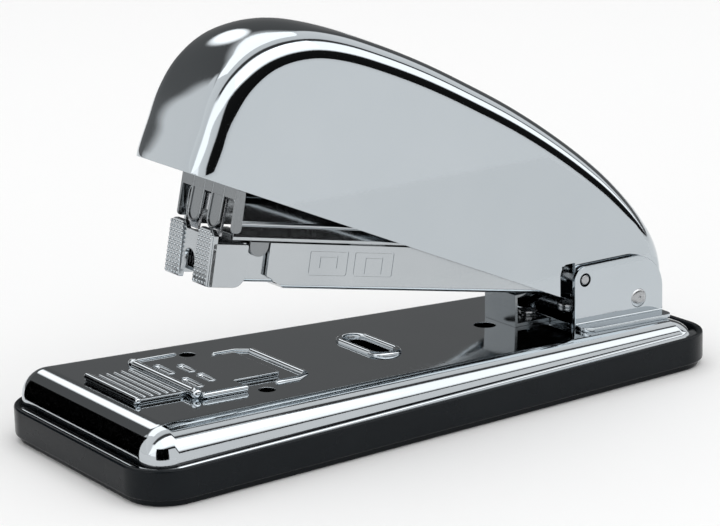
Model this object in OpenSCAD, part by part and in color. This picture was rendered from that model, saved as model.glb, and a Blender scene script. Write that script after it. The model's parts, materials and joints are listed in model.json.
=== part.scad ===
// Desk stapler with a domed pressed cover, a front-loading staple drawer,
// a two-position anvil slide and a sloping pressed base in a moulded tray.
// Millimetres, +Z up, nose towards -X, hinge towards +X, origin under the tray's centre.

/* [Tray] */
// overall length of the tray
tray_len = 150; // [135:1:165]
// tray width at the nose end
tray_w_front = 63; // [56:0.5:70]
// tray width at the hinge end
tray_w_rear = 55; // [48:0.5:63]
// height of the tray rim above the table
tray_h = 7.8; // [6:0.1:9]
// plan radius of the tray corners
tray_corner = 9.7; // [6:0.1:14]
// thickness of the tray wall at the rim
tray_wall = 1.2; // [1:0.1:2]
// thickness of the tray floor
tray_floor = 1.8; // [1.4:0.1:2.4]

/* [Base shell] */
// height of the deck above the table at its front shoulder
deck_front = 15.1; // [13:0.1:17]
// height of the deck above the table at its rear shoulder
deck_rear = 9.9; // [9.6:0.1:13]
// distance from the centre to each end shoulder
deck_half = 66.6; // [64:0.1:67]
// half width of the flat deck at the nose end
deck_hw_front = 23.2; // [20:0.1:24]
// half width of the flat deck at the hinge end
deck_hw_rear = 19.4; // [19:0.1:20]
// radius of the pressed shoulder
shoulder_r = 6; // [5:0.1:6.5]
// sheet thickness of the base shell
base_sheet = 1.0; // [0.8:0.1:1.2]

/* [Hinge] */
// hinge pin position along the base
pivot_x = 47.1; // [46:0.1:48]
// hinge pin height above the table
pivot_z = 21.6; // [21:0.1:22]
// hinge pin radius
pin_r = 1.4; // [1.2:0.05:1.6]
// stop pin position along the base
stop_x = 62.5; // [62:0.1:63]
// stop pin height above the table
stop_z = 14.7; // [14.4:0.1:15]
// inside face of the bracket ears
ear_in = 13.2; // [13.1:0.05:13.4]
// thickness of the bracket sheet
ear_t = 1.0; // [0.8:0.1:1.2]

/* [Cover] */
// tilt of the cover at rest
cover_tilt = 24.4; // [23:0.1:26]
// half width of the cover
cover_hw = 13.75; // [13.5:0.05:14]
// radius of the cover's rounded shoulders
cover_r = 6; // [5:0.1:7]
// sheet thickness of the cover
cover_sheet = 1.0; // [0.8:0.1:1.2]
// distance of the cover's lower edge below the hinge pin
cover_edge = 5.3; // [5:0.1:5.6]

/* [Magazine] */
// tilt of the magazine at rest
mag_tilt = 11.2; // [10:0.1:12]
// half width of the magazine channel
mag_hw = 8.4; // [8.3:0.05:8.5]
// sheet thickness of the magazine channel
mag_sheet = 0.8; // [0.6:0.05:0.9]
// height of the magazine walls above the hinge pin
mag_top = 5.0; // [4.6:0.1:5.2]
// depth of the magazine floor below the hinge pin
mag_bottom = 4.5; // [4.4:0.1:4.6]
// front end of the magazine channel, ahead of the hinge pin
mag_front = 80.4; // [78:0.1:82]
// rear end of the magazine channel, behind the hinge pin
mag_rear = 6; // [5:0.1:8]

/* [Drawer] */
// front face of the drawer's end wall, ahead of the hinge pin
drawer_front = 93.0; // [92.8:0.05:93.2]
// rear end of the drawer, ahead of the hinge pin
drawer_rear = 8.4; // [8:0.1:12]
// outside half width of the drawer
drawer_hw = 7.25; // [7.2:0.05:7.3]
// sheet thickness of the drawer
drawer_sheet = 0.65; // [0.6:0.05:0.7]
// length of the staple strip
strip_len = 36; // [10:1:50]

/* [Anvil] */
// distance from the nose end of the slide to the clinching grooves
pad_reach = 20.4; // [18:0.1:22]
// travel of the anvil slide
anvil_travel = 4.2; // [3:0.1:4.5]

/* [Hidden] */

chrome = [0.78, 0.80, 0.82];
steel = [0.62, 0.64, 0.66];
black = [0.06, 0.06, 0.07];
bright = [0.72, 0.73, 0.75];

eps = 0.01;
fit = 0.06;
taper = (tray_w_front - tray_w_rear) / 2 / tray_len;
taper_deg = atan(taper);
deck_tilt = atan((deck_front - deck_rear) / (2 * deck_half));
anvil_x = -45;
skirt_r = 8.2;
skirt_z = tray_floor;
ram_in = 8.8;
ram_t = 0.8;
ram_top = 14.4;
ram_low = 5.6;
ram_front = 90.6;
blade_x = -91.8;
blade_lean = 4.5;
blade_tip = 1.7;
rod_notch = 2.2;
floor_top = -2.9;
crown_top = 3.6;
strip_front = -90.7;
rod_z = 0.2;
tab_x = -85.2;
strip_back = strip_front + strip_len;

// cover stations: centres of the shoulder radius in the side view, nose first
cover_line = [
  [-99.8, -9], [-99.8, 8.5], [-98.2, 15], [-94.5, 20.5], [-88.5, 24], [-80.5, 25.8],
  [-70, 26.5], [-58, 26.5], [-46, 25.8], [-32, 24.5], [-18, 22.2], [-5, 19.1],
  [4, 16], [11, 12.7], [16.4, 9], [19.8, 4.4], [20.4, -9]
];

function tray_hw(x) = (tray_w_front + tray_w_rear) / 4 - taper * x;
function deck_z(x) = deck_front - (deck_front - deck_rear) * (x + deck_half) / (2 * deck_half);

module on_deck(x) {
  translate([x, 0, deck_z(x)])
    rotate([0, deck_tilt, 0])
      children();
}

module in_magazine() {
  translate([pivot_x, 0, pivot_z])
    rotate([0, mag_tilt, 0])
      children();
}

module in_cover() {
  translate([pivot_x, 0, pivot_z])
    rotate([0, cover_tilt, 0])
      children();
}

// a bar along Y, centred
module rod_y(r, len, n = 48) {
  rotate([90, 0, 0])
    cylinder(r = r, h = len, center = true, $fn = n);
}

// a side-view outline given as X and Z, made |from..to| thick on both sides
module side_pair(from, to) {
  for (s = [-1, 1])
    translate([0, s > 0 ? to : -from, 0])
      rotate([90, 0, 0])
        linear_extrude(to - from)
          children();
}

// a side-view outline made into one slab across the middle
module side_slab(half) {
  translate([0, half, 0])
    rotate([90, 0, 0])
      linear_extrude(2 * half)
        children();
}

// the tray outline, drawn inwards by inset
module tray_plan(inset) {
  r = tray_corner - inset;
  cx = tray_len / 2 - tray_corner;
  yf = tray_hw(-cx) - tray_corner / cos(taper_deg);
  yr = tray_hw(cx) - tray_corner / cos(taper_deg);
  tx = r * sin(taper_deg);
  ty = r * cos(taper_deg);
  polygon([
    [-cx - r, -yf], [-cx + tx, -yf - ty], [cx + tx, -yr - ty], [cx + r, -yr],
    [cx + r, yr], [cx + tx, yr + ty], [-cx + tx, yf + ty], [-cx - r, yf]
  ]);
  for (s = [-1, 1]) {
    translate([-cx, s * yf])
      circle(r = r, $fn = 96);
    translate([cx, s * yr])
      circle(r = r, $fn = 96);
  }
}

// a round-ended slot along Y
module slot_y(len, width, depth) {
  for (s = [-1, 1])
    translate([0, s * (len - width) / 2, 0])
      cylinder(d = width, h = depth, center = true, $fn = 40);
  cube([width, len - width, depth], center = true);
}

// a round-ended slot along X
module slot_x(len, width, depth) {
  rotate([0, 0, 90])
    slot_y(len, width, depth);
}

// ---------- base ----------

module base_tray() {
  color(black)
    difference() {
      union() {
        linear_extrude(1.5)
          tray_plan(1.0);
        translate([0, 0, 1.5])
          linear_extrude(tray_h - 1.5)
            tray_plan(0);
      }
      translate([0, 0, tray_floor])
        linear_extrude(tray_h)
          tray_plan(tray_wall);
      translate([0, 0, -eps])
        linear_extrude(0.6)
          tray_plan(4.5);
    }
}

module shell_form(inset, drop) {
  cx = tray_len / 2 - tray_wall - 0.3 - skirt_r;
  hull()
    for (sx = [-1, 1])
      for (sy = [-1, 1]) {
        hw = sx < 0 ? deck_hw_front : deck_hw_rear;
        top = sx < 0 ? deck_front : deck_rear;
        translate([sx * deck_half, sy * hw, top - shoulder_r])
          sphere(r = shoulder_r - inset, $fn = 40);
        translate([sx * cx, sy * (tray_hw(sx * cx) - tray_wall - 0.3 - skirt_r), skirt_z - drop])
          cylinder(r = skirt_r - inset, h = 0.6, $fn = 40);
      }
}

// half-round pressed rib that frames the anvil slide
module deck_rib() {
  rib = 0.8;
  on_deck(-24.9) {
    rod_y(rib, 20.4);
    for (s = [-1, 1])
      translate([0, s * 10.2, 0])
        sphere(r = rib, $fn = 24);
  }
  for (s = [-1, 1])
    on_deck(-29.4)
      translate([0, s * 12.6, 0])
        rotate([0, 90, 0])
          cylinder(r = rib, h = 6, center = true, $fn = 32);
}

module base_shell() {
  color(chrome)
    difference() {
      union() {
        difference() {
          shell_form(0, 0);
          shell_form(base_sheet, 2);
          translate([0, 0, skirt_z - 20])
            cube([200, 100, 40], center = true);
        }
        deck_rib();
        on_deck(-1.6)
          slot_y(19.8, 8.6, 1.2);
      }
      on_deck(-1.6)
        slot_y(12.6, 4.2, 8);
      on_deck(29.9)
        cylinder(r = 2.5, h = 8, center = true, $fn = 48);
      for (s = [-1, 1])
        on_deck(-37.6)
          translate([0, s * 15.6, 0])
            cylinder(r = 1.8, h = 8, center = true, $fn = 40);
      for (x = [-59, -35])
        on_deck(x + anvil_travel / 2)
          slot_x(anvil_travel + 3.8, 3.8, 8);
      for (x = [54, 66])
        on_deck(x)
          cylinder(r = 1.6, h = 8, center = true, $fn = 40);
      on_deck(42)
        cylinder(r = 1.3, h = 8, center = true, $fn = 40);
    }
}

module ear_outline() {
  polygon([[44.2, 8], [44.2, 21.5], [47.4, 24.7], [61.2, 24.6], [69.6, 16.2], [69.6, 8]]);
  translate([47.4, 21.5])
    circle(r = 3.2, $fn = 64);
  translate([61.2, 16.2])
    circle(r = 8.4, $fn = 96);
}

module hinge_bracket() {
  color(chrome)
    difference() {
      union() {
        difference() {
          side_pair(ear_in, ear_in + ear_t)
            ear_outline();
          on_deck(57)
            translate([0, 0, -10])
              cube([60, 60, 20], center = true);
        }
        on_deck(57)
          translate([-13, -ear_in - eps, 0])
            cube([25.6, 2 * ear_in + 2 * eps, ear_t]);
        for (s = [-1, 1])
          on_deck(57)
            translate([-11, s > 0 ? ear_in : -ear_in - 5.2, 0])
              cube([22, 5.2, ear_t]);
        for (s = [-1, 1])
          for (e = [-1, 1])
            on_deck(57)
              translate([e < 0 ? -10.8 : 10.4, s * (ear_in + 3.2), 0])
                cylinder(r = 2, h = ear_t, $fn = 40);
      }
      translate([pivot_x, 0, pivot_z])
        rod_y(pin_r, 40);
      translate([stop_x, 0, stop_z])
        rod_y(1.6, 40);
      for (x = [54, 66])
        on_deck(x)
          cylinder(r = 1.6, h = 8, center = true, $fn = 40);
    }
}

module bracket_rivet(x) {
  color(steel)
    on_deck(x) {
      translate([0, 0, -1.9])
        cylinder(r = 1.6, h = 3.2, $fn = 40);
      translate([0, 0, ear_t])
        cylinder(r = 2.6, h = 0.7, $fn = 48);
      translate([0, 0, -base_sheet - 0.9])
        cylinder(r = 2.4, h = 0.9, $fn = 48);
    }
}

module bracket_rivet_front() {
  bracket_rivet(54);
}

module bracket_rivet_rear() {
  bracket_rivet(66);
}

module hinge_pin() {
  color(steel)
    translate([pivot_x, 0, pivot_z])
      rod_y(pin_r, 2 * (ear_in + ear_t) + 0.3);
}

module stop_pin() {
  color(steel)
    translate([stop_x, 0, stop_z])
      difference() {
        union() {
          rod_y(1.6, 2 * (ear_in + ear_t));
          for (s = [-1, 1])
            translate([0, s * (ear_in + ear_t + 0.2), 0])
              rod_y(2.2, 0.4);
        }
        for (s = [-1, 1])
          translate([0, s * (ear_in + ear_t + 0.5), 0])
            rod_y(0.7, 0.8);
      }
}

// sheet-metal leaf: foot on the deck, upright strap and a rolled lip under the magazine
module lift_spring() {
  color(steel)
    difference() {
      side_slab(5.5)
        union() {
          polygon([
            [34.2, 11.2], [43.8, 10.85], [43.8, 11.65], [34.9, 11.95],
            [34.9, 17.9], [37.4, 17.9], [37.4, 18.5], [34.3, 18.5]
          ]);
          translate([34.6, 11.9])
            circle(r = 0.35, $fn = 32);
        }
      on_deck(42)
        cylinder(r = 1.3, h = 12, center = true, $fn = 40);
    }
}

module lift_spring_rivet() {
  color(steel)
    on_deck(42) {
      translate([0, 0, -1.8])
        cylinder(r = 1.3, h = 3.4, $fn = 40);
      translate([0, 0, 1.2])
        cylinder(r = 2.1, h = 0.6, $fn = 40);
      translate([0, 0, -1.8])
        cylinder(r = 2.1, h = 0.6, $fn = 40);
    }
}

// ---------- anvil slide ----------

module anvil_slide() {
  lift = 0.1;
  plate = 0.9;
  color(chrome)
    on_deck(anvil_x)
      difference() {
        union() {
          translate([-pad_reach, -10.4, lift])
            cube([12, 20.8, 0.9]);
          for (i = [0:5])
            translate([-pad_reach + 0.6 + i * 1.9, 0, 0.95])
              rod_y(0.55, i == 0 ? 21.6 : 19.8, 32);
          translate([-7.6, 0, 1.0])
            rod_y(1.0, 25, 40);
          translate([-7.6, -12.4, lift])
            cube([1.4, 24.8, plate]);
          for (s = [-1, 1])
            translate([-7.6, s * 12.5, 1.0])
              sphere(r = 1.25, $fn = 32);
          translate([-7, -14.8, lift])
            cube([10.6, 29.6, plate]);
          translate([3, -8.8, lift])
            cube([12, 17.6, plate]);
          for (s = [-1, 1])
            translate([-1.7, s * 14.3, 0.75])
              rotate([0, 90, 0])
                cylinder(r = 0.6, h = 10.2, center = true, $fn = 32);
        }
        for (s = [-1, 1]) {
          translate([0.1, s * 3.9, lift + plate])
            slot_y(4.6, 1.5, 0.9);
          translate([-4.2, s * 5.6, lift + plate])
            slot_y(6.4, 1.5, 0.9);
        }
        for (x = [-14, 10])
          translate([x, 0, 0])
            cylinder(r = 1.6, h = 6, center = true, $fn = 40);
      }
}

module anvil_rivet(x) {
  color(steel)
    on_deck(anvil_x)
      translate([x, 0, -2.5])
        cylinder(r = 1.6, h = 3.4, $fn = 40);
}

module anvil_rivet_front() {
  anvil_rivet(-14);
}

module anvil_rivet_rear() {
  anvil_rivet(10);
}

module anvil_retainer() {
  color(steel)
    on_deck(anvil_x)
      difference() {
        translate([-18, -6, -2.1])
          cube([32, 12, 0.8]);
        for (x = [-14, 10])
          translate([x, 0, 0])
            cylinder(r = 1.6, h = 8, center = true, $fn = 40);
      }
}

// ---------- cover and ram ----------

// the cover's rounded form, drawn inwards by inset and run down by drop
module cover_form(inset, drop) {
  hull()
    for (p = cover_line)
      for (s = [-1, 1])
        translate([p[0], s * (cover_hw - cover_r), p[1] < 0 ? p[1] - drop : p[1]])
          sphere(r = cover_r - inset, $fn = 32);
}

// side-view area of the pressed-in cheek that makes room for a bracket ear
module cheek_area(grow) {
  translate([-pivot_x, -pivot_z])
    union() {
      translate([43.4, 23.1])
        circle(r = 3.2 + grow, $fn = 48);
      polygon([
        [40.2 - grow, -20], [40.2 - grow, 23.1], [43.4, 26.3 + grow], [59.5, 26.2 + grow],
        [66.5 + grow, 23.6 + grow], [90, 14], [90, -20]
      ]);
    }
}

// inner wall of the pressed-in cheek, kept inside the cover's rear curve
module cheek_plate() {
  translate([-pivot_x, -pivot_z])
    polygon([
      [39.2, 5], [39.2, 24.5], [42.0, 27.3], [59.8, 27.2], [65.5, 24.6],
      [68.6, 19.5], [69.6, 12], [69.6, 5]
    ]);
}

module cover_shell() {
  step = ear_in - 0.35;
  color(chrome)
    in_cover()
      difference() {
        union() {
          difference() {
            cover_form(0, 0);
            cover_form(cover_sheet, 10);
            translate([-120, -40, -40 - cover_edge])
              cube([200, 80, 40]);
            side_pair(step, 30)
              rotate([0, 0, cover_tilt])
                cheek_area(0);
          }
          side_pair(step - cover_sheet, step + 0.1)
            rotate([0, 0, cover_tilt])
              cheek_plate();
        }
        translate([-120, -40, -40 - cover_edge])
          cube([200, 80, 40]);
        rotate([0, -cover_tilt, 0])
          translate([0, -40, -40 - 9.6])
            cube([60, 80, 40]);
        rod_y(pin_r + fit, 60);
        rotate([0, -cover_tilt, 0])
          translate([stop_x - pivot_x, 0, stop_z - pivot_z]) {
            rod_y(1.9, 26.2);
            translate([-1.9, -13.1, -12])
              cube([3.8, 26.2, 12]);
            translate([-4.5, -13.1, -12])
              cube([4.5, 26.2, 12.5]);
          }
      }
}

// pressed strut between the cover's nose and the ram
module nose_post() {
  color(steel)
    in_cover()
      difference() {
        side_slab(7)
          polygon([[-94.8, 0.6], [-94.8, 25.7], [-91, 27.9], [-86, 29.2], [-86, 8], [-93.2, 0.6]]);
        side_slab(6.2)
          polygon([[-94.0, 0], [-94.0, 40], [-80, 40], [-80, 0]]);
      }
}

module ram_side() {
  polygon([
    [-ram_front, ram_low], [-16, ram_low], [-7, -4], [4.5, -4], [6, -2.5],
    [6, 9], [2, ram_top], [-ram_front, ram_top]
  ]);
}

module ram_section(inset) {
  out = ram_in + ram_t - inset;
  r = 2 - inset;
  translate([-out, -10])
    square([2 * out, ram_top - inset - r + 10]);
  translate([-out + r, -10])
    square([2 * (out - r), ram_top - inset + 10]);
  for (s = [-1, 1])
    translate([s * (out - r), ram_top - inset - r])
      circle(r = r, $fn = 64);
}

module ram_channel() {
  color(chrome)
    in_magazine()
      difference() {
        union() {
          intersection() {
            rotate([90, 0, 90])
              translate([0, 0, -120])
                linear_extrude(140)
                  ram_section(0);
            side_slab(12)
              ram_side();
          }
          for (s = [-1, 1])
            translate([-ram_front, s * (ram_in + ram_t), 8.6])
              rotate([0, 90, 0])
                cylinder(r = 0.4, h = 74, $fn = 24);
        }
        rotate([90, 0, 90])
          translate([0, 0, -120])
            linear_extrude(150)
              ram_section(ram_t);
        rod_y(pin_r + fit, 60);
        translate([-24, 0, 14])
          cylinder(r = 1.3, h = 6, center = true, $fn = 40);
      }
}

module lobe_face() {
  difference() {
    union() {
      for (s = [-1, 1]) {
        translate([s * 3.4, 9.2])
          circle(r = 2.6, $fn = 48);
        translate([s * 3.4 - 2.6, 9.2])
          square([5.2, 5]);
      }
      translate([-10.2, 13.8])
        square([20.4, 8.6]);
    }
    translate([-1.2, 5])
      square([2.4, 11]);
  }
}

module ram_bracket() {
  color(steel)
    in_magazine() {
      translate([blade_x, 0, 6.6])
        rotate([0, blade_lean, 0])
          translate([-0.6, 0, -6.6])
            rotate([90, 0, 90])
              linear_extrude(0.6)
                lobe_face();
      side_pair(ram_in + ram_t + 0.45, ram_in + ram_t + 1.05)
        polygon([[-91.9, 13.8], [-91.3, 21.6], [-89.2, 21.6], [-89.2, 8.0], [-90.2, 7], [-91.9, 7]]);
    }
}

module driver_blade() {
  color(bright)
    in_magazine()
      translate([blade_x, 0, 3.9])
        rotate([0, blade_lean, 0])
          difference() {
            translate([0, -6.2, blade_tip])
              cube([0.6, 12.4, 9.5 - blade_tip]);
            translate([-1, -rod_notch, blade_tip - 1])
              cube([3, 2 * rod_notch, 5.4]);
          }
}

module cover_spring() {
  color(steel)
    in_magazine()
      difference() {
        side_slab(4)
          polygon([
            [-19, 13.5], [-28, 13.5], [-46, 6.4], [-49, 6.4], [-49, 5.8], [-45.8, 5.8],
            [-27.8, 12.9], [-19, 12.9]
          ]);
        translate([-24, 0, 13])
          cylinder(r = 1.3, h = 6, center = true, $fn = 40);
      }
}

module cover_spring_rivet() {
  color(steel)
    in_magazine()
      translate([-24, 0, 0]) {
        translate([0, 0, 12.4])
          cylinder(r = 1.3, h = 2.5, $fn = 40);
        translate([0, 0, ram_top])
          cylinder(r = 2.2, h = 0.6, $fn = 40);
        translate([0, 0, 12.2])
          cylinder(r = 2.2, h = 0.6, $fn = 40);
      }
}

// ---------- magazine ----------

module staple_mark(legs) {
  wall = 0.35;
  for (s = [-1, 1])
    translate([s * 2.2 - wall / 2, 2.6 - legs])
      square([wall, legs]);
  translate([-2.2 - wall / 2, 2.6 - wall])
    square([4.4 + wall, wall]);
}

module frame_mark(w, h) {
  difference() {
    square([w, h]);
    translate([0.35, 0.35])
      square([w - 0.7, h - 0.7]);
  }
}

module magazine_channel() {
  color(chrome)
    in_magazine()
      difference() {
        side_slab(mag_hw)
          polygon([
            [-mag_front, mag_top], [mag_rear, mag_top], [mag_rear, -mag_bottom],
            [-75.8, -mag_bottom], [-mag_front, -2.0]
          ]);
        translate([-120, -(mag_hw - mag_sheet), -mag_bottom + 0.7])
          cube([160, 2 * (mag_hw - mag_sheet), 30]);
        rod_y(pin_r + fit, 60);
        side_pair(mag_hw - 0.3, 12) {
          translate([-70.4, -1.4])
            frame_mark(9.8, 5.1);
          translate([-59.0, -1.4])
            frame_mark(10.2, 5.1);
          translate([-65.5, 0])
            staple_mark(2.6);
          translate([-53.9, 0])
            staple_mark(3.6);
        }
        translate([-62, 0, -mag_bottom])
          slot_x(9, 3, 4);
      }
}

// leaf that lies over the staples, with a half-round tab on each side
module staple_guard() {
  color(steel)
    in_magazine()
      difference() {
        union() {
          translate([-88.6, -6.1, 4.1])
            cube([44, 12.2, 0.5]);
          translate([tab_x, -8.15, 4.95])
            cube([4.6, 16.3, 0.35]);
          translate([tab_x, -4, 4.5])
            cube([4.6, 8, 0.6]);
          side_pair(7.55, 8.15)
            union() {
              translate([tab_x, 4.2])
                square([4.6, 1.1]);
              intersection() {
                translate([tab_x + 2.3, 4.2])
                  circle(r = 2.3, $fn = 48);
                translate([tab_x, 0])
                  square([4.6, 4.3]);
              }
            }
          for (s = [-1, 1])
            translate([-60, s > 0 ? 3.6 : -mag_hw + 0.8 - eps, mag_top + 0.05])
              cube([9, mag_hw - 4.4, 0.45]);
          translate([-60, -5, 4.5])
            cube([9, 10, 1.0]);
        }
        translate([-56, 0, 4])
          cylinder(r = 1.1, h = 6, center = true, $fn = 40);
      }
}

module guard_rivet() {
  color(steel)
    in_magazine()
      translate([-56, 0, 4.1]) {
        cylinder(r = 1.1, h = 1.7, $fn = 40);
        translate([0, 0, 1.4])
          cylinder(r = 1.8, h = 0.4, $fn = 40);
      }
}

// ---------- drawer ----------

module drawer_channel() {
  in = drawer_hw - drawer_sheet;
  color(chrome)
    in_magazine()
      difference() {
        union() {
          translate([-drawer_front, -drawer_hw, -3.5])
            cube([drawer_front - drawer_rear, 2 * drawer_hw, 0.6]);
          side_pair(in, drawer_hw)
            polygon([
              [-drawer_front, -3.5], [-drawer_rear, -3.5], [-drawer_rear, 3.2],
              [-10.8, 4.6], [-drawer_front, 4.6]
            ]);
          translate([-drawer_rear - 0.8, -in - eps, -3])
            cube([0.8, 2 * in + 2 * eps, 6]);
          translate([-90.2, -2.4, -3])
            cube([0.8, 4.8, 4.8]);
        }
        translate([-drawer_front - eps, -in, -5])
          cube([2.6, 2 * in, 4]);
        translate([-95, 0, rod_z])
          rotate([0, 90, 0])
            cylinder(r = 0.9, h = 100, $fn = 40);
      }
}

module catch_cheek() {
  union() {
    translate([-94.0, -2])
      square([8.4, 6.6]);
    translate([-94.0, -4.5])
      square([5.9, 4]);
    translate([-88.1, -2])
      circle(r = 2.5, $fn = 48);
  }
}

// pressed end cap of the drawer with two knurled finger pads
module drawer_catch() {
  color(chrome)
    in_magazine()
      difference() {
        union() {
          for (s = [-1, 1])
            translate([-94.6, s > 0 ? 2.7 : -mag_hw, -4.5])
              cube([1.6, mag_hw - 2.7, 11.6]);
          translate([-93.9, -3, 1.6])
            cube([0.9, 6, 4.2]);
          side_pair(mag_hw - 0.7, mag_hw)
            catch_cheek();
        }
        for (s = [-1, 1])
          translate([-94.6, s * 5.6, 0])
            for (i = [-5:6])
              translate([0, 0, i])
                cube([0.5, 4.4, 0.35], center = true);
        for (s = [-1, 1])
          translate([-94.6, s * 5.6, 1])
            for (j = [-2:2])
              translate([0, j * 0.95, 0])
                cube([0.5, 0.35, 10.4], center = true);
        translate([-95, 0, 1.6])
          rotate([0, 90, 0])
            cylinder(r = 1.6, h = 4, $fn = 40);
      }
}

module guide_rod() {
  color(steel)
    in_magazine()
      translate([-90.2, 0, rod_z])
        rotate([0, 90, 0])
          cylinder(r = 0.9, h = 90.2 - drawer_rear + 0.9, $fn = 40);
}

module rod_collar() {
  color(steel)
    in_magazine()
      translate([-drawer_rear, 0, rod_z])
        rotate([0, 90, 0])
          difference() {
            cylinder(r = 1.8, h = 0.7, $fn = 40);
            translate([0, 0, -1])
              cylinder(r = 0.9, h = 4, $fn = 40);
          }
}

module staple_strip() {
  color(bright)
    in_magazine()
      difference() {
        translate([strip_front, -6.5, floor_top + 0.02])
          cube([strip_len, 13, crown_top - floor_top - 0.02]);
        translate([strip_front - 1, -5.9, floor_top - 1])
          cube([strip_len + 2, 11.8, crown_top - floor_top + 0.4]);
        for (i = [1:2:strip_len * 2 - 1])
          translate([strip_front + i * 0.5, 0, crown_top])
            cube([0.12, 20, 0.12], center = true);
      }
}

module pusher() {
  gap = 0.3;
  color(steel)
    in_magazine()
      difference() {
        union() {
          translate([strip_back + gap, -6.2, floor_top + gap])
            cube([0.8, 12.4, 6.3]);
          translate([strip_back + gap, -6.2, floor_top + gap])
            cube([12, 0.7, 5.6]);
          translate([strip_back + gap, 5.5, floor_top + gap])
            cube([12, 0.7, 5.6]);
          translate([strip_back + gap + 11.2, -6.2, floor_top + gap])
            cube([0.8, 12.4, 5.6]);
        }
        translate([strip_back - 2, 0, rod_z])
          rotate([0, 90, 0])
            cylinder(r = 0.9 + fit, h = 30, $fn = 40);
      }
}

module pusher_spring() {
  start = strip_back + 12.9;
  end = -drawer_rear - 1.3;
  turns = 15;
  color(steel)
    in_magazine()
      for (i = [0:turns])
        translate([start + (end - start) * i / turns, 0, rod_z])
          rotate([0, 90, 0])
            rotate_extrude($fn = 40)
              translate([1.75, 0])
                circle(r = 0.3, $fn = 16);
}

base_tray();
base_shell();
hinge_bracket();
bracket_rivet_front();
bracket_rivet_rear();
hinge_pin();
stop_pin();
lift_spring();
lift_spring_rivet();
anvil_slide();
anvil_retainer();
anvil_rivet_front();
anvil_rivet_rear();
cover_shell();
nose_post();
ram_channel();
ram_bracket();
driver_blade();
cover_spring();
cover_spring_rivet();
magazine_channel();
staple_guard();
guard_rivet();
drawer_channel();
drawer_catch();
guide_rod();
rod_collar();
staple_strip();
pusher();
pusher_spring();
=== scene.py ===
import bpy
import bmesh
import json
import math
from mathutils import Matrix, Vector


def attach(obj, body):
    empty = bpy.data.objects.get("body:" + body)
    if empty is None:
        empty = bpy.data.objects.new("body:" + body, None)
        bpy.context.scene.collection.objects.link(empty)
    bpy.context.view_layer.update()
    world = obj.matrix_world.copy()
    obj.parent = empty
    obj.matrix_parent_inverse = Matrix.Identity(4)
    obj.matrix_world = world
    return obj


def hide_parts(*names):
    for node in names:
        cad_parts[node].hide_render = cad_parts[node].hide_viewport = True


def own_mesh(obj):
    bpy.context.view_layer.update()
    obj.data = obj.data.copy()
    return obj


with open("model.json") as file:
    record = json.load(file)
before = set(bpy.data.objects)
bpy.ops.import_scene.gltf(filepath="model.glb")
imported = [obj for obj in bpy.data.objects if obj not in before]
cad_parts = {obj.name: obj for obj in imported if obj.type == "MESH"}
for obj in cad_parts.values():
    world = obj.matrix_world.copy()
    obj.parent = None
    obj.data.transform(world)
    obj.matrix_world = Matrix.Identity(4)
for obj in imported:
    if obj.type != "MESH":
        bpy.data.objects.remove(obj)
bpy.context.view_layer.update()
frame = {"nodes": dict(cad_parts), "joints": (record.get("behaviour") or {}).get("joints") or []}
print("frame loaded:", len(frame["nodes"]), "nodes")

# Everything below is worked out in millimetres and turned into metres when a mesh is made.

joints = {joint["name"]: joint for joint in frame["joints"]}
pivot = Vector(joints["cover_hinge"]["pos_m"]) * 1000
drawerAxis = joints["drawer_slide"]["axis"]
anvilAxis = joints["anvil_slide"]["axis"]

tilts = {
    "magazine": math.atan2(drawerAxis[2], -drawerAxis[0]),
    "cover": math.radians(24.4),
    "deck": math.atan2(-anvilAxis[2], anvilAxis[0]),
}


def tilted(x, z, angle):
    return Matrix.Translation((x, 0, z)) @ Matrix.Rotation(angle, 4, "Y")


magazineFrame = tilted(pivot.x, pivot.z, tilts["magazine"])
coverFrame = tilted(pivot.x, pivot.z, tilts["cover"])
worldFrame = Matrix.Identity(4)


def deckZ(x):
    return 12.5 - math.tan(tilts["deck"]) * x


def deckFrame(x):
    return tilted(x, deckZ(x), tilts["deck"])


# Outlines are lists of (u, v) points.

def arc(cx, cy, r, start, end, steps=10):
    turn = [math.radians(start + (end - start) * i / steps) for i in range(steps + 1)]
    return [(cx + r * math.cos(a), cy + r * math.sin(a)) for a in turn]


def rounded(corners, radius, steps=6):
    # radius is one number, or one for each corner
    radii = radius if isinstance(radius, (list, tuple)) else [radius] * len(corners)
    line = []
    count = len(corners)
    for i, (corner, r) in enumerate(zip(corners, radii)):
        here = Vector(corner)
        before = Vector(corners[i - 1]) - here
        after = Vector(corners[(i + 1) % count]) - here
        angle = before.angle(after)
        if r < 0.01 or angle > 3.1:
            line.append(tuple(here))
            continue
        reach = min(r / math.tan(angle / 2), before.length * 0.49, after.length * 0.49)
        r = reach * math.tan(angle / 2)
        inward = (before.normalized() + after.normalized()).normalized()
        middle = here + inward * (r / math.sin(angle / 2))
        first = here + before.normalized() * reach - middle
        last = here + after.normalized() * reach - middle
        sweep = first.angle_signed(last)
        for k in range(steps + 1):
            turned = first.copy()
            turned.rotate(Matrix.Rotation(-sweep * k / steps, 2))
            line.append(tuple(middle + turned))
    return line


def box2(x0, y0, x1, y1):
    return [(x0, y0), (x1, y0), (x1, y1), (x0, y1)]


# Shapes: each of these returns a new object, and place is a local frame in millimetres.

def newObject(name, mesh):
    piece = bpy.data.objects.new(name, mesh)
    bpy.context.scene.collection.objects.link(piece)
    return piece


def fromFaces(name, points, faces, place=worldFrame):
    mesh = bpy.data.meshes.new(name)
    mesh.from_pydata([(place @ Vector(p)) * 0.001 for p in points], [], faces)
    tidy = bmesh.new()
    tidy.from_mesh(mesh)
    bmesh.ops.remove_doubles(tidy, verts=tidy.verts, dist=2e-6)
    bmesh.ops.recalc_face_normals(tidy, faces=tidy.faces)
    tidy.to_mesh(mesh)
    tidy.free()
    return newObject(name, mesh)


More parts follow.
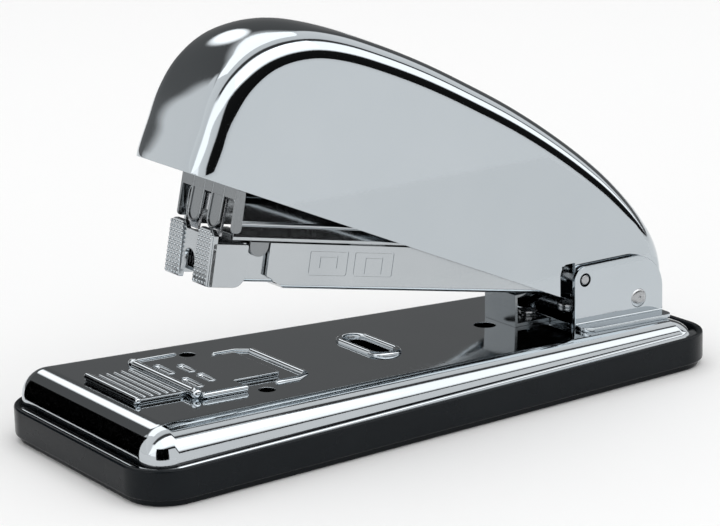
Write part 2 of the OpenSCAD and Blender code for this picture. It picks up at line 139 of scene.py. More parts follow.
def loft(name, rings, place=worldFrame, closed=True, capStart=True, capEnd=True):
    # rings of equal length, joined one to the next
    width = len(rings[0])
    points = [p for ring in rings for p in ring]
    faces = []
    for i in range(len(rings) - 1):
        for k in range(width if closed else width - 1):
            a, b = i * width + k, i * width + (k + 1) % width
            faces.append((a, b, b + width, a + width))
    if capStart:
        faces.append(tuple(range(width))[::-1])
    if capEnd:
        faces.append(tuple(range(len(points) - width, len(points))))
    return fromFaces(name, points, faces, place)


def flatPlate(name, outline, low, high, across="Y", place=worldFrame, edge=0.12):
    # a sheet cut to an outline, with softened edges; across is the axis of its thickness
    curve = bpy.data.curves.new(name, "CURVE")
    curve.dimensions = "2D"
    curve.fill_mode = "BOTH"
    curve.extrude = (high - low) / 2 - edge
    curve.bevel_depth = edge
    curve.bevel_resolution = 2
    curve.offset = -edge
    spline = curve.splines.new("POLY")
    spline.points.add(len(outline) - 1)
    for point, (u, v) in zip(spline.points, outline):
        point.co = (u, v, 0, 1)
    spline.use_cyclic_u = True
    holder = newObject(name + ".line", curve)
    mesh = bpy.data.meshes.new_from_object(holder)
    bpy.data.objects.remove(holder)
    middle = (low + high) / 2
    turns = {
        "Y": Matrix(((1, 0, 0, 0), (0, 0, -1, middle), (0, 1, 0, 0), (0, 0, 0, 1))),
        "X": Matrix(((0, 0, 1, middle), (1, 0, 0, 0), (0, 1, 0, 0), (0, 0, 0, 1))),
        "Z": Matrix.Translation((0, 0, middle)),
    }
    tidy = bmesh.new()
    tidy.from_mesh(mesh)
    bmesh.ops.remove_doubles(tidy, verts=tidy.verts, dist=0.002)
    bmesh.ops.recalc_face_normals(tidy, faces=tidy.faces)
    bmesh.ops.transform(tidy, matrix=Matrix.Scale(0.001, 4) @ place @ turns[across], verts=tidy.verts)
    tidy.to_mesh(mesh)
    tidy.free()
    mesh.name = name
    return newObject(name, mesh)


def prism(name, outline, low, high, across="Y", place=worldFrame):
    # a plain block with sharp edges, used for cutting
    order = {
        "X": lambda u, v, w: (w, u, v),
        "Y": lambda u, v, w: (u, w, v),
        "Z": lambda u, v, w: (u, v, w),
    }
    rings = [[order[across](u, v, w) for u, v in outline] for w in (low, high)]
    return loft(name, rings, place)


def prismPair(name, outline, low, high, place=worldFrame):
    near = prism(name, outline, -high, -low, "Y", place)
    far = prism(name, outline, low, high, "Y", place)
    return [near, far]


def bothSides(name, outline, low, high, place=worldFrame, edge=0.12):
    near = flatPlate(name, outline, -high, -low, "Y", place, edge)
    far = flatPlate(name, outline, low, high, "Y", place, edge)
    return [near, far]


def rod(name, path, radius, place=worldFrame, steps=14, roundEnds=True):
    # a round bar along a list of points
    path = [Vector(p) for p in path]
    rings = []
    side = None
    for i, point in enumerate(path):
        along = (path[min(i + 1, len(path) - 1)] - path[max(i - 1, 0)]).normalized()
        if side is None:
            side = along.orthogonal().normalized()
        side = (side - along * side.dot(along)).normalized()
        other = along.cross(side)
        ends = [(0.0, 1.0)]
        if roundEnds and i in (0, len(path) - 1):
            sign = -1 if i == 0 else 1
            ends = [(sign * math.sin(a), math.cos(a)) for a in (0, 0.5, 1.0, 1.4)]
            if i == 0:
                ends = ends[::-1]
        for ahead, share in ends:
            centre = point + along * (radius * ahead)
            rings.append([
                centre + (side * math.cos(t) + other * math.sin(t)) * (radius * share)
                for t in (math.tau * k / steps for k in range(steps))
            ])
    return loft(name, rings, place)


def turned(name, profile, place, steps=48):
    # profile is (radius, height) pairs turned round the local Z
    turn = [math.tau * k / steps for k in range(steps)]
    rings = [[(r * math.cos(a), r * math.sin(a), h) for a in turn] for r, h in profile]
    return loft(name, rings, place)


def bake(piece):
    graph = bpy.context.evaluated_depsgraph_get()
    done = bpy.data.meshes.new_from_object(piece.evaluated_get(graph))
    piece.modifiers.clear()
    piece.data = done
    return piece


def combine(piece, others, operation="DIFFERENCE"):
    for other in others:
        step = piece.modifiers.new("cut", "BOOLEAN")
        step.object = other
        step.operation = operation
        step.solver = "EXACT"
    bake(piece)
    for other in others:
        bpy.data.objects.remove(other)
    return piece


def join(name, parts):
    whole = bmesh.new()
    for part in parts:
        whole.from_mesh(part.data)
    mesh = bpy.data.meshes.new(name)
    whole.to_mesh(mesh)
    whole.free()
    for part in parts:
        bpy.data.objects.remove(part)
    return newObject(name, mesh)


def soften(piece, width, angle=40, segments=3):
    step = piece.modifiers.new("edge", "BEVEL")
    step.width = width * 0.001
    step.segments = segments
    step.limit_method = "ANGLE"
    step.angle_limit = math.radians(angle)
    step.use_clamp_overlap = True
    step.harden_normals = False
    return bake(piece)


def dress(piece, material, body, nodes=(), smooth=38):
    mesh = piece.data
    mesh.materials.clear()
    mesh.materials.append(material)
    mesh.shade_smooth()
    mesh.set_sharp_from_angle(angle=math.radians(smooth))
    shading = piece.modifiers.new("shading", "WEIGHTED_NORMAL")
    shading.keep_sharp = True
    shading.weight = 90
    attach(piece, body)
    if nodes:
        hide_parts(*nodes)
    return piece


# Materials: uneven colour, roughness and a slight bump, all in object space.

def nodeMaterial(name):
    material = bpy.data.materials.new(name)
    material.use_nodes = True
    tree = material.node_tree
    shader = tree.nodes["Principled BSDF"]
    place = tree.nodes.new("ShaderNodeTexCoord")
    return material, tree, shader, place.outputs["Object"]


def noise(tree, place, scale, detail=3.0):
    node = tree.nodes.new("ShaderNodeTexNoise")
    node.inputs["Scale"].default_value = scale
    node.inputs["Detail"].default_value = detail
    tree.links.new(place, node.inputs["Vector"])
    return node.outputs["Fac"]


def ranged(tree, value, low, high):
    node = tree.nodes.new("ShaderNodeMapRange")
    node.inputs["From Min"].default_value = 0.3
    node.inputs["From Max"].default_value = 0.7
    node.inputs["To Min"].default_value = low
    node.inputs["To Max"].default_value = high
    tree.links.new(value, node.inputs["Value"])
    return node.outputs["Result"]


def shaded(tree, value, dark, light):
    node = tree.nodes.new("ShaderNodeMix")
    node.data_type = "RGBA"
    node.inputs["A"].default_value = (*dark, 1)
    node.inputs["B"].default_value = (*light, 1)
    tree.links.new(value, node.inputs["Factor"])
    return node.outputs["Result"]


def bumped(tree, shader, heights):
    # heights is a list of (value, distance in metres)
    normal = None
    for value, distance in heights:
        node = tree.nodes.new("ShaderNodeBump")
        node.inputs["Strength"].default_value = 1.0
        node.inputs["Distance"].default_value = distance
        tree.links.new(value, node.inputs["Height"])
        if normal:
            tree.links.new(normal, node.inputs["Normal"])
        normal = node.outputs["Normal"]
    tree.links.new(normal, shader.inputs["Normal"])


def metal(name, dark, light, roughLow, roughHigh, wave=0.00002, grain=0.0000015):
    material, tree, shader, place = nodeMaterial(name)
    shader.inputs["Metallic"].default_value = 1.0
    cloud = noise(tree, place, 60, 2)
    fine = noise(tree, place, 2600, 2)
    tree.links.new(shaded(tree, cloud, dark, light), shader.inputs["Base Color"])
    tree.links.new(ranged(tree, fine, roughLow, roughHigh), shader.inputs["Roughness"])
    bumped(tree, shader, [(noise(tree, place, 45, 1), wave), (fine, grain)])
    return material


def plastic(name, dark, light, roughLow, roughHigh):
    material, tree, shader, place = nodeMaterial(name)
    fine = noise(tree, place, 1800, 4)
    broad = noise(tree, place, 90, 3)
    tree.links.new(shaded(tree, broad, dark, light), shader.inputs["Base Color"])
    tree.links.new(ranged(tree, broad, roughLow, roughHigh), shader.inputs["Roughness"])
    shader.inputs["Specular IOR Level"].default_value = 0.16
    bumped(tree, shader, [(fine, 0.000006)])
    return material


finishes = {
    "coverChrome": metal("coverChrome", (0.50, 0.545, 0.575), (0.54, 0.58, 0.61), 0.03, 0.07),
    "baseChrome": metal("baseChrome", (0.50, 0.535, 0.56), (0.54, 0.575, 0.60), 0.04, 0.09, 0.00003),
    "sheetPlating": metal("sheetPlating", (0.46, 0.49, 0.51), (0.54, 0.57, 0.59), 0.10, 0.2),
    "darkSteel": metal("darkSteel", (0.20, 0.215, 0.225), (0.30, 0.315, 0.325), 0.12, 0.24),
    "plainSteel": metal("plainSteel", (0.38, 0.39, 0.40), (0.50, 0.51, 0.52), 0.18, 0.32),
    "stapleWire": metal("stapleWire", (0.55, 0.56, 0.58), (0.66, 0.67, 0.69), 0.18, 0.3),
    "trayBlack": plastic("trayBlack", (0.002, 0.0035, 0.005), (0.004, 0.006, 0.008), 0.22, 0.32),
}
print("materials made:", len(finishes))


tray = {
    "frontHalf": 31.5, "rearHalf": 27.5, "half": 75, "corner": 9.7, "top": 7.8, "wall": 1.2,
    "floor": 1.8, "toe": 1.0,
}


def trayRing(inset, z, steps=14):
    slope = math.atan((tray["frontHalf"] - tray["rearHalf"]) / (2 * tray["half"]))
    r = tray["corner"] - inset
    cx = tray["half"] - tray["corner"]
    middle = (tray["frontHalf"] + tray["rearHalf"]) / 2
    ring = []
    for sx, sy, start in ((1, 1, 0), (-1, 1, 90), (-1, -1, 180), (1, -1, 270)):
        half = middle - math.tan(slope) * sx * cx - tray["corner"] / math.cos(slope)
        ring += [(x, y, z) for x, y in arc(sx * cx, sy * half, r, start, start + 90, steps)]
    return ring


def makeTray():
    top, wall = tray["top"], tray["wall"]
    levels = [
        (4.5, 0.6), (4.5, 0.0), (1.6, 0.0), (1.15, 0.15), (tray["toe"], 0.5), (tray["toe"] - 0.1, 1.25),
        (0.25, 1.5), (0.05, 1.7), (0.0, 2.0), (0.0, top - 0.5), (0.08, top - 0.2), (0.3, top),
        (wall - 0.3, top), (wall - 0.08, top - 0.2), (wall, top - 0.5), (wall, tray["floor"]),
    ]
    piece = loft("tray_moulding", [trayRing(inset, z) for inset, z in levels])
    dress(piece, finishes["trayBlack"], "base", ["base_tray"], 50)


makeTray()
print("tray made")


base = {
    "deckHalf": 66.6, "frontHalf": 23.2, "rearHalf": 19.4, "shoulder": 6.0, "flange": 7.05,
    "lip": 0.7, "reach": 6.75, "sheet": 0.9,
    "slot": {"x": -1.6, "halfWide": 2.1, "halfLong": 6.3, "ridge": 0.75},
    "hole": {"x": 29.9, "radius": 2.5},
    "sideHoles": {"x": -37.6, "across": 15.6, "radius": 1.8},
}


def shellRing(level, steps=14):
    # level 0 to 1 is the shoulder, 1 to 2 the wall and 2 to 3 the foot flange
    ring = []
    for sx, sy, start in ((1, 1, 0), (-1, 1, 90), (-1, -1, 180), (1, -1, 270)):
        half = base["rearHalf"] if sx > 0 else base["frontHalf"]
        top = deckZ(sx * base["deckHalf"])
        foot = base["flange"] + base["lip"]
        last = math.acos(max(0.0, 1 - (top - foot) / base["shoulder"]))
        bend = last * min(level, 1)
        out = base["shoulder"] * math.sin(bend)
        z = top - base["shoulder"] * (1 - math.cos(bend))
        if level > 1:
            z += (foot - z) * min(level - 1, 1)
        if level > 2:
            swing = (level - 2) * math.pi / 2
            out += (base["reach"] - out) * (1 - math.cos(swing))
            z = foot - base["lip"] * math.sin(swing)
        ring += [
            (x, y, z)
            for x, y in arc(sx * base["deckHalf"], sy * half, out, start, start + 90, steps)
        ]
    return ring


def makeBaseShell():
    levels = [i / 12 for i in range(13)] + [1.5, 2] + [2 + i / 5 for i in range(1, 6)]
    rings = [shellRing(level) for level in levels]
    piece = loft("base_pressing", rings, capStart=True, capEnd=False)
    thick = piece.modifiers.new("sheet", "SOLIDIFY")
    thick.thickness = base["sheet"] * 0.001
    thick.offset = -1
    bake(piece)
    slot, hole, sideHoles = base["slot"], base["hole"], base["sideHoles"]
    wide, long = slot["halfWide"], slot["halfLong"]
    slotLine = rounded(box2(-wide, -long, wide, long), wide - 0.01, 10)
    holeLine = arc(0, 0, hole["radius"], 0, 351, 39)
    cutters = [
        prism("slotCut", slotLine, -3, 4, "Z", deckFrame(slot["x"])),
        prism("holeCut", holeLine, -3, 4, "Z", deckFrame(hole["x"])),
    ]
    for side in (-1, 1):
        sideLine = arc(0, side * sideHoles["across"], sideHoles["radius"], 0, 348, 29)
        cutters.append(prism("sideCut", sideLine, -3, 4, "Z", deckFrame(sideHoles["x"])))
    combine(piece, cutters)
    soften(piece, 0.22, 55)
    dress(piece, finishes["baseChrome"], "base", ["base_shell"], 42)


def oval(halfLength, halfWidth, steps=12):
    straight = halfLength - halfWidth
    return arc(0, straight, halfWidth, 0, 180, steps) + arc(0, -straight, halfWidth, 180, 360, steps)


def makeDeckRelief():
    # pressed ridge round the slot, and the frame that the anvil slides against
    slot = base["slot"]
    ring = [(x, y, 0.1) for x, y in oval(slot["halfLong"] + 2.3, slot["halfWide"] + 1.3)]
    ring = ring + ring[:2]
    parts = [rod("slotRidge", ring, slot["ridge"], deckFrame(slot["x"]), 12, False)]
    parts.append(rod("ridge", [(0, -10.2, -0.1), (0, 10.2, -0.1)], 0.85, deckFrame(-24.9)))
    for side in (-1, 1):
        line = [(-3.4, side * 12.4, -0.1), (1.5, side * 12.4, -0.1), (4.5, side * 10.6, -0.15)]
        parts.append(rod("ridge", line, 0.7, deckFrame(-29.4)))
    piece = join("deck_ridges", parts)
    dress(piece, finishes["baseChrome"], "base", (), 60)


makeBaseShell()
makeDeckRelief()
print("base shell made")


cover = {
    "half": 13.75, "radius": 6.0, "edge": -5.3, "sheet": 1.0,
    "line": [
        (-98.2, -6.4), (-99.0, -5.5), (-99.55, -4.6), (-99.8, -3.4), (-99.8, 2), (-99.75, 8.5),
        (-98.2, 15), (-94.5, 20.5), (-88.5, 24), (-80.5, 25.8), (-70, 26.5), (-58, 26.5), (-46, 25.8),
        (-32, 24.5), (-18, 22.2), (-5, 19.1), (4, 16), (11, 12.7), (16.4, 9), (19.6, 4.4),
        (20.4, -1.5), (20.4, -5.3),
    ],
    "crownLow": 3.0, "crownBend": 17.0, "crownBack": 8.0,
    "recessFace": 12.85,
}


def smoothPath(corners, steps):
    # a curve through every corner, evenly stepped between them
    points = [Vector(c) for c in corners]
    padded = [points[0] * 2 - points[1]] + points + [points[-1] * 2 - points[-2]]
    path = []
    for i in range(1, len(padded) - 2):
        a, b, c, d = padded[i - 1:i + 3]
        first = (c - b).length
        slopeB = (c - a) / max((c - b).length + (b - a).length, 1e-6) * first
        slopeC = (d - b) / max((d - c).length + (c - b).length, 1e-6) * first
        for k in range(steps):
            t = k / steps
            path.append(
                b * (2 * t ** 3 - 3 * t ** 2 + 1) + slopeB * (t ** 3 - 2 * t ** 2 + t)
                + c * (3 * t ** 2 - 2 * t ** 3) + slopeC * (t ** 3 - t ** 2)
            )
    path.append(points[-1])
    return path


def ease(value, low, high):
    t = min(1.0, max(0.0, (value - low) / (high - low)))
    return t * t * (3 - 2 * t)


def coverSection(centre, normal, steps=9):
    # one slice across the cover, from the near side to the far side
    rise = math.degrees(math.atan2(normal.y, -normal.x))
    crown = cover["crownLow"]
    crown += (cover["crownBend"] - cover["crownLow"]) * ease(rise, 5, 55)
    crown -= (cover["crownBend"] - cover["crownBack"]) * ease(rise, 60, 92)
    crown = math.radians(crown)
    r = cover["radius"]
    flat = cover["half"] - r * (1 - math.sin(crown))
    drop = flat * math.tan(crown) / 2
    depth = drop + r * math.cos(crown)
    top = centre + normal * (r + 0.35 * (depth - r))
    half = [(flat * k / 8, -drop * (k / 8) ** 2) for k in range(9)]
    for k in range(1, steps + 1):
        a = crown + (math.pi / 2 - crown) * k / steps
        out = flat + r * (math.sin(a) - math.sin(crown))
        half.append((out, -drop - r * (math.cos(crown) - math.cos(a))))
    whole = [(-y, off) for y, off in half[:0:-1]] + half
    return [(top.x + normal.x * off, y, top.y + normal.y * off) for y, off in whole]


def makeCover():
    path = smoothPath(cover["line"], 8)
    sections = []
    for i, centre in enumerate(path):
        along = (path[min(i + 1, len(path) - 1)] - path[max(i - 1, 0)]).normalized()
        normal = Vector((-along.y, along.x))
        sections.append(coverSection(centre, normal))
    width = len(sections[0])
    points = [p for section in sections for p in section]
    faces = []
    for i in range(len(sections) - 1):
        for k in range(width - 1):
            a = i * width + k
            faces.append((a, a + 1, a + 1 + width, a + width))
    faces.append(tuple(i * width for i in range(len(sections))))
    faces.append(tuple(i * width + width - 1 for i in range(len(sections))))
    piece = fromFaces("cover_pressing", points, faces, coverFrame)
    thick = piece.modifiers.new("sheet", "SOLIDIFY")
    thick.thickness = cover["sheet"] * 0.001
    thick.offset = -1
    thick.use_even_offset = False
    bake(piece)
    recess = rounded(
        [(40.4, -10), (40.4, 26.3), (59.5, 26.2), (66.5, 23.6), (90, 14), (90, -10)],
        [0, 3.0, 6, 8, 0, 0], 10,
    )
    cutters = prismPair("recess", recess, cover["recessFace"], 30)
    cutters.append(prism("rearCut", box2(47.1, -10, 100, 12.0), -40, 40))
    low = cover["edge"]
    cutters.append(prism("lowCut", box2(-130, low - 30, 60, low), -40, 40, "Y", coverFrame))
    combine(piece, cutters)
    pinHole = arc(pivot.x, pivot.z, 1.5, 0, 350, 35)
    openings = prismPair("opening", box2(40.9, 8, 45.4, 25.6), 11.5, 31)
    combine(piece, openings + prismPair("pinHole", pinHole, 11, 32))
    # inner plate of the recess, notched for the stop rivet
    cheek = [
        (45.3, 16.7), (55.4, 12.05), (60.6, 12.05), (60.6, 16.6), (64.4, 16.6), (64.4, 12.05),
        (69, 12.05), (68.4, 19.5), (65.5, 24.4), (59.8, 26.8), (45.3, 26.9),
    ]
    plates = bothSides("cheek", cheek, cover["recessFace"] - 0.9, cover["recessFace"] - 0.04)
    for plate in plates:
        combine(plate, [prism("pinHole", pinHole, -20, 20)])
    piece = join("cover_pressing", [piece] + plates)
    soften(piece, 0.4, 50)
    dress(piece, finishes["coverChrome"], "cover", ["cover_shell"], 40)


makeCover()
print("cover made")


hinge = {
    "earIn": 13.2, "sheet": 1.0, "stop": (62.5, 14.7), "middle": 57, "footWide": 5.2, "pinHole": 1.55,
}


def makeBracket():
    inner, sheet = hinge["earIn"], hinge["sheet"]
    place = deckFrame(hinge["middle"])
    foot = [(x, deckZ(x) + 0.05) for x in (69.6, 44.2)]
    outline = arc(47.4, 21.5, 3.2, 180, 90, 10) + arc(61.2, 16.2, 8.4, 90, 0, 16) + foot
    parts = bothSides("ear", outline[::-1], inner, inner + sheet, worldFrame, 0.16)
    pinHole = arc(pivot.x, pivot.z, hinge["pinHole"], 0, 350, 35)
    for ear in parts:
        combine(ear, [prism("pinHole", pinHole, -20, 20)])
    parts.append(flatPlate("floor", box2(-13, -inner, 12.6, inner), 0, sheet, "Z", place, 0.1))
    for side in (-1, 1):
        near, far = sorted((side * (inner + 0.2), side * (inner + hinge["footWide"])))
        shape = box2(-12.8, near, 12.4, far)
        radii = [2.2, 2.2, 0, 0] if side < 0 else [0, 0, 2.2, 2.2]
        parts.append(flatPlate("foot", rounded(shape, radii), 0, sheet, "Z", place, 0.16))
        # hollow fillet between the ear and the foot
        out = inner + sheet
        bend = [(side * (out - 0.1), 0.9), (side * (out - 0.05), 1.6)]
        for a in (0.3, 0.6, 0.9, 1.2, 1.57):
            bend.append((side * (out + 0.55 - 0.6 * math.cos(a)), 1.55 - 0.6 * math.sin(a)))
        if side > 0:
            bend = bend[::-1]
        parts.append(flatPlate("bend", bend, -12.7, 12.3, "X", place, 0.01))
    piece = join("hinge_ears", parts)
    dress(piece, finishes["coverChrome"], "base", ["hinge_bracket"], 40)


def acrossAt(x, z, side):
    # local Z points out of the near or far side
    turn = Matrix.Rotation(math.radians(90 if side < 0 else -90), 4, "X")
    return Matrix.Translation((x, 0, z)) @ turn


def makePins():
    out = hinge["earIn"] + hinge["sheet"]
    x, z = hinge["stop"]
    heads, ends = [], []
    for side in (-1, 1):
        head = [
            (0.05, out + 0.42), (0.22, out + 0.43), (0.34, out + 0.5), (0.9, out + 0.5),
            (1.4, out + 0.42), (1.8, out + 0.28), (2.1, out + 0.08), (2.2, out - 0.1),
            (1.6, out - 0.3), (1.6, 0),
        ]
        heads.append(turned("head", head, acrossAt(x, z, side)))
        # the pin end sits in a shallow countersink ring
        end = [(0.05, out + 0.1), (0.8, out + 0.1), (1.0, out + 0.04), (1.1, out - 0.1), (1.1, 0)]
        ends.append(turned("end", end, acrossAt(pivot.x, pivot.z, side)))
    stop = join("stop_rivet", heads)
    dress(stop, finishes["plainSteel"], "base", ["stop_pin"], 40)
    pin = join("hinge_pin_ends", ends)
    dress(pin, finishes["plainSteel"], "base", ["hinge_pin"], 40)


makeBracket()
makePins()
print("hinge made")


anvil = {
    "x": -45, "padFront": -20.4, "padHalf": 10.4, "plateFront": -7.0, "plateRear": 3.6, "plateHalf": 14.8,
    "tongueRear": 15, "tongueHalf": 8.8, "low": 0.1, "sheet": 0.9, "ribs": 5, "ribStep": 1.75,
    "grooves": ((0.1, 3.9, 1.9), (-4.2, 5.6, 2.6)),  # place along, place across, half length
}


def makeAnvil():
    place = deckFrame(anvil["x"])
    low, top = anvil["low"], anvil["low"] + anvil["sheet"]
    padHalf, plateHalf, tongueHalf = anvil["padHalf"], anvil["plateHalf"], anvil["tongueHalf"]
    neck, shoulder = anvil["plateFront"] - 0.4, anvil["plateFront"] + 0.8
    corners = [
        (anvil["padFront"], -padHalf), (neck, -padHalf), (neck, -padHalf - 1.6),
        (shoulder, -plateHalf + 1.6), (shoulder, -plateHalf), (anvil["plateRear"], -plateHalf),
        (anvil["plateRear"], -tongueHalf), (anvil["tongueRear"], -tongueHalf),
    ]
    radii = [0.8, 0.3, 0.3, 0.3, 0.4, 0.4, 0.3, 0.6]
    mirrored = [(x, -y) for x, y in corners[::-1]]
    outline = rounded(corners + mirrored, radii + radii[::-1], 4)
    body = flatPlate("anvilPlate", outline, low, top, "Z", place, 0.14)
    pockets = []
    for side in (-1, 1):
        for x, across, half in anvil["grooves"]:
            y = side * across
            line = [(x, y - half, top + 0.15), (x, y + half, top + 0.15)]
            pockets.append(rod("pocket", line, 0.78, place, 16))
    combine(body, pockets)
    parts = [body]
    for side in (-1, 1):
        for x, across, half in anvil["grooves"]:
            ring = [(x + u * 0.95, side * across + v, top) for u, v in oval(half + 1.1, 0.95, 8)]
            parts.append(rod("lip", ring + ring[:2], 0.16, place, 8, False))
        bead = [(-6.4, side * 14.2, 0.75), (3.2, side * 14.2, 0.75)]
        parts.append(rod("sideBead", bead, 0.68, place, 18))
        knob = [(-7.5, side * 12.3, 1.0), (-7.5, side * 12.6, 1.0)]
        parts.append(rod("knob", knob, 1.2, place, 20))
    front = anvil["padFront"] + 0.7
    parts.append(rod("frontBead", [(front, -10.2, 0.85), (front, 10.2, 0.85)], 0.75, place, 18))
    for i in range(anvil["ribs"]):
        x = front + 2.3 + i * anvil["ribStep"]
        parts.append(rod("rib", [(x, -9.0, 0.82), (x, 9.0, 0.82)], 0.42, place, 12))
    parts.append(rod("rearBar", [(-7.6, -11.6, 1.0), (-7.6, 11.6, 1.0)], 0.95, place, 18))
    piece = join("anvil_plate", parts)
    dress(piece, finishes["baseChrome"], "anvil", ["anvil_slide"], 45)


makeAnvil()
print("anvil made")


magazine = {
    "half": 8.4, "sheet": 0.8, "top": 5.0, "bottom": -4.5, "front": -80.4, "rear": 6.0, "bend": 1.1,
    "frames": ((-70.4, 9.8, 2.6), (-59.0, 10.2, 3.6)),  # front edge, width, leg length of the mark
}


def channelOutline(half, sheet, low, high, bend, steps=6):
    # a U with rounded bends, open at the top
    outside = arc(half - bend, low + bend, bend, 0, -90, steps)
    inside = arc(half - bend, low + bend, bend - sheet, -90, 0, steps)
    right = [(half, high)] + outside
    left = [(-y, z) for y, z in outside[::-1]] + [(-half, high), (-half + sheet, high)]
    return right + left + [(-y, z) for y, z in inside[::-1]] + inside + [(half - sheet, high)]


def makeMagazine():
    m = magazine
    outline = channelOutline(m["half"], m["sheet"], m["bottom"], m["top"], m["bend"])
    piece = flatPlate("magazine_pressing", outline, m["front"], m["rear"], "X", magazineFrame, 0.1)
    nose = [
        (-90, -10), (-74.5, -10), (-74.5, m["bottom"] - 0.5), (m["front"] + 0.4, -2.0),
        (m["front"] - 4, -1.2), (-90, -1.2),
    ]
    cutters = [prism("noseCut", nose, -20, 20, "Y", magazineFrame)]
    for x, width, legs in m["frames"]:
        outer = rounded(box2(x, -1.5, x + width, 3.8), 0.5)
        inner = rounded(box2(x + 0.28, -1.22, x + width - 0.28, 3.52), 0.3)
        for side in (-1, 1):
            low, high = sorted((side * (m["half"] - 0.12), side * (m["half"] + 1)))
            plate = prism("frameCut", outer, low, high, "Y", magazineFrame)
            keep = prism("frameKeep", inner, low - 2, high + 2, "Y", magazineFrame)
            combine(plate, [keep])
            cutters.append(plate)
            middle = x + width / 2
            mark = [(-2.3, 2.7), (-2.3, 2.7 - legs), (-1.98, 2.7 - legs), (-1.98, 2.38), (1.98, 2.38)]
            mark += [(1.98, 2.7 - legs), (2.3, 2.7 - legs), (2.3, 2.7)]
            mark = [(middle + u, v) for u, v in mark]
            cutters.append(prism("markCut", mark, low, high, "Y", magazineFrame))
    combine(piece, cutters)
    dress(piece, finishes["sheetPlating"], "magazine", ["magazine_channel"], 35)


guard = {"front": -88.6, "rear": -44.6, "half": 6.1, "tabFront": -85.2, "tabRadius": 2.3, "tabOut": 8.1}


def makeGuard():
    r, out = guard["tabRadius"], guard["tabOut"]
    start, end = guard["tabFront"], guard["tabFront"] + 2 * r
    tab = arc(start + r, 4.3, r, 180, 360, 16) + [(end, 5.3), (start, 5.3)]
    parts = bothSides("tab", tab, out - 0.6, out, magazineFrame, 0.1)
    sheets = {
        "leaf": (box2(guard["front"], -guard["half"], guard["rear"], guard["half"]), 4.1, 4.6),
        "wing": (box2(start, -out, end, out), 4.9, 5.3),
        "post": (box2(start + 0.3, -4, end - 0.3, 4), 4.4, 5.1),
        "seat": (box2(-60, -7.6, -51, 7.6), 4.9, 5.5),
    }
    for name, (outline, low, high) in sheets.items():
        parts.append(flatPlate(name, outline, low, high, "Z", magazineFrame, 0.1))
    piece = join("guard_leaf", parts)
    dress(piece, finishes["darkSteel"], "magazine", ["staple_guard"], 40)


makeMagazine()
makeGuard()
print("magazine made")


drawer = {
    "front": -93.0, "rear": -8.4, "half": 7.25, "sheet": 0.65, "low": -3.5, "high": 4.6,
    "padInner": 2.7, "padFace": -94.6, "padLow": -4.5, "padTop": 7.1, "knurlColumns": 5, "knurlRows": 12,
}


def makeDrawer():
    d = drawer
    outline = channelOutline(d["half"], d["sheet"], d["low"], d["high"], 1.0)
    piece = flatPlate("drawer_pressing", outline, d["front"] + 0.1, d["rear"], "X", magazineFrame, 0.08)
    staplePath = box2(d["front"] - 1, -6.6, d["front"] + 2.6, 6.6)
    combine(piece, [prism("exitCut", staplePath, -5, -2.7, "Z", magazineFrame)])
    wallLine = box2(-6.5, -3.4, 6.5, 3)
    wall = flatPlate("endWall", wallLine, d["rear"] - 0.8, d["rear"], "X", magazineFrame, 0.08)
    hookLine = rounded(box2(-2.4, -3.4, 2.4, 1.8), [0, 0, 1.2, 1.2])
    hook = flatPlate("rodHook", hookLine, -90.2, -89.4, "X", magazineFrame, 0.08)
    piece = join("drawer_pressing", [piece, wall, hook])
    dress(piece, finishes["sheetPlating"], "drawer", ["drawer_channel"], 35)


def knurledPad(side):
    # rows of small domes on the face of a finger pad
    d = drawer
    low, high = d["padLow"] + 0.7, d["padTop"] - 0.8
    inner, outer = d["padInner"] + 0.55, magazine["half"] - 0.75
    columns, rows = d["knurlColumns"], d["knurlRows"]
    domes = []
    for row in range(rows):
        for column in range(columns):
            y = inner + (outer - inner) * column / (columns - 1)
            z = low + (high - low) * row / (rows - 1)
            profile = [(0.38, -0.1), (0.36, 0.06), (0.27, 0.2), (0.12, 0.28)]
            place = magazineFrame @ Matrix.Translation((d["padFace"], side * y, z))
            domes.append(turned("dome", profile, place @ Matrix.Rotation(math.radians(-90), 4, "Y"), 8))
    return join("knurl", domes)


def makeCatch():
    d = drawer
    half, low, top = magazine["half"], d["padLow"], d["padTop"]
    parts = []
    notch = arc(0, -0.3, 2.1, 180, 0, 14)
    face = [(-half, low), (-3.0, low)] + notch + [
        (3.0, low), (half, low), (half, top - 1.2), (half - 1.2, top), (3.2, top), (2.2, top - 1.3),
        (-2.2, top - 1.3), (-3.2, top), (-half + 1.2, top), (-half, top - 1.2),
    ]
    parts.append(flatPlate("face", face, d["padFace"] + 0.35, -93.1, "X", magazineFrame, 0.2))
    pad = [
        (d["padInner"] - 0.1, low + 0.05), (half - 0.25, low + 0.05), (half - 0.25, top - 1.3),
        (half - 1.3, top - 0.05), (3.3, top - 0.05),
    ]
    cheek = rounded([(-94.2, low), (-85.6, low), (-85.6, 4.5), (-94.2, 4.5)], [0.5, 2.6, 0.5, 0.5])
    for side in (-1, 1):
        shape = [(side * y, z) for y, z in pad[::side]]
        shape = rounded(shape, 0.4)
        parts.append(flatPlate("pad", shape, d["padFace"] - 0.02, -93.4, "X", magazineFrame, 0.22))
        parts.append(knurledPad(side))
        near, far = sorted((side * (half - 0.7), side * half))
        parts.append(flatPlate("cheek", cheek, near, far, "Y", magazineFrame, 0.14))
    piece = join("catch_cap", parts)
    dress(piece, finishes["sheetPlating"], "drawer", ["drawer_catch"], 28)


strip = {
    "front": -90.7, "length": 36, "legs": 6.4, "crown": 3.6, "half": 6.5, "wire": 0.55, "pitch": 0.6,
    "thick": 0.56,
}


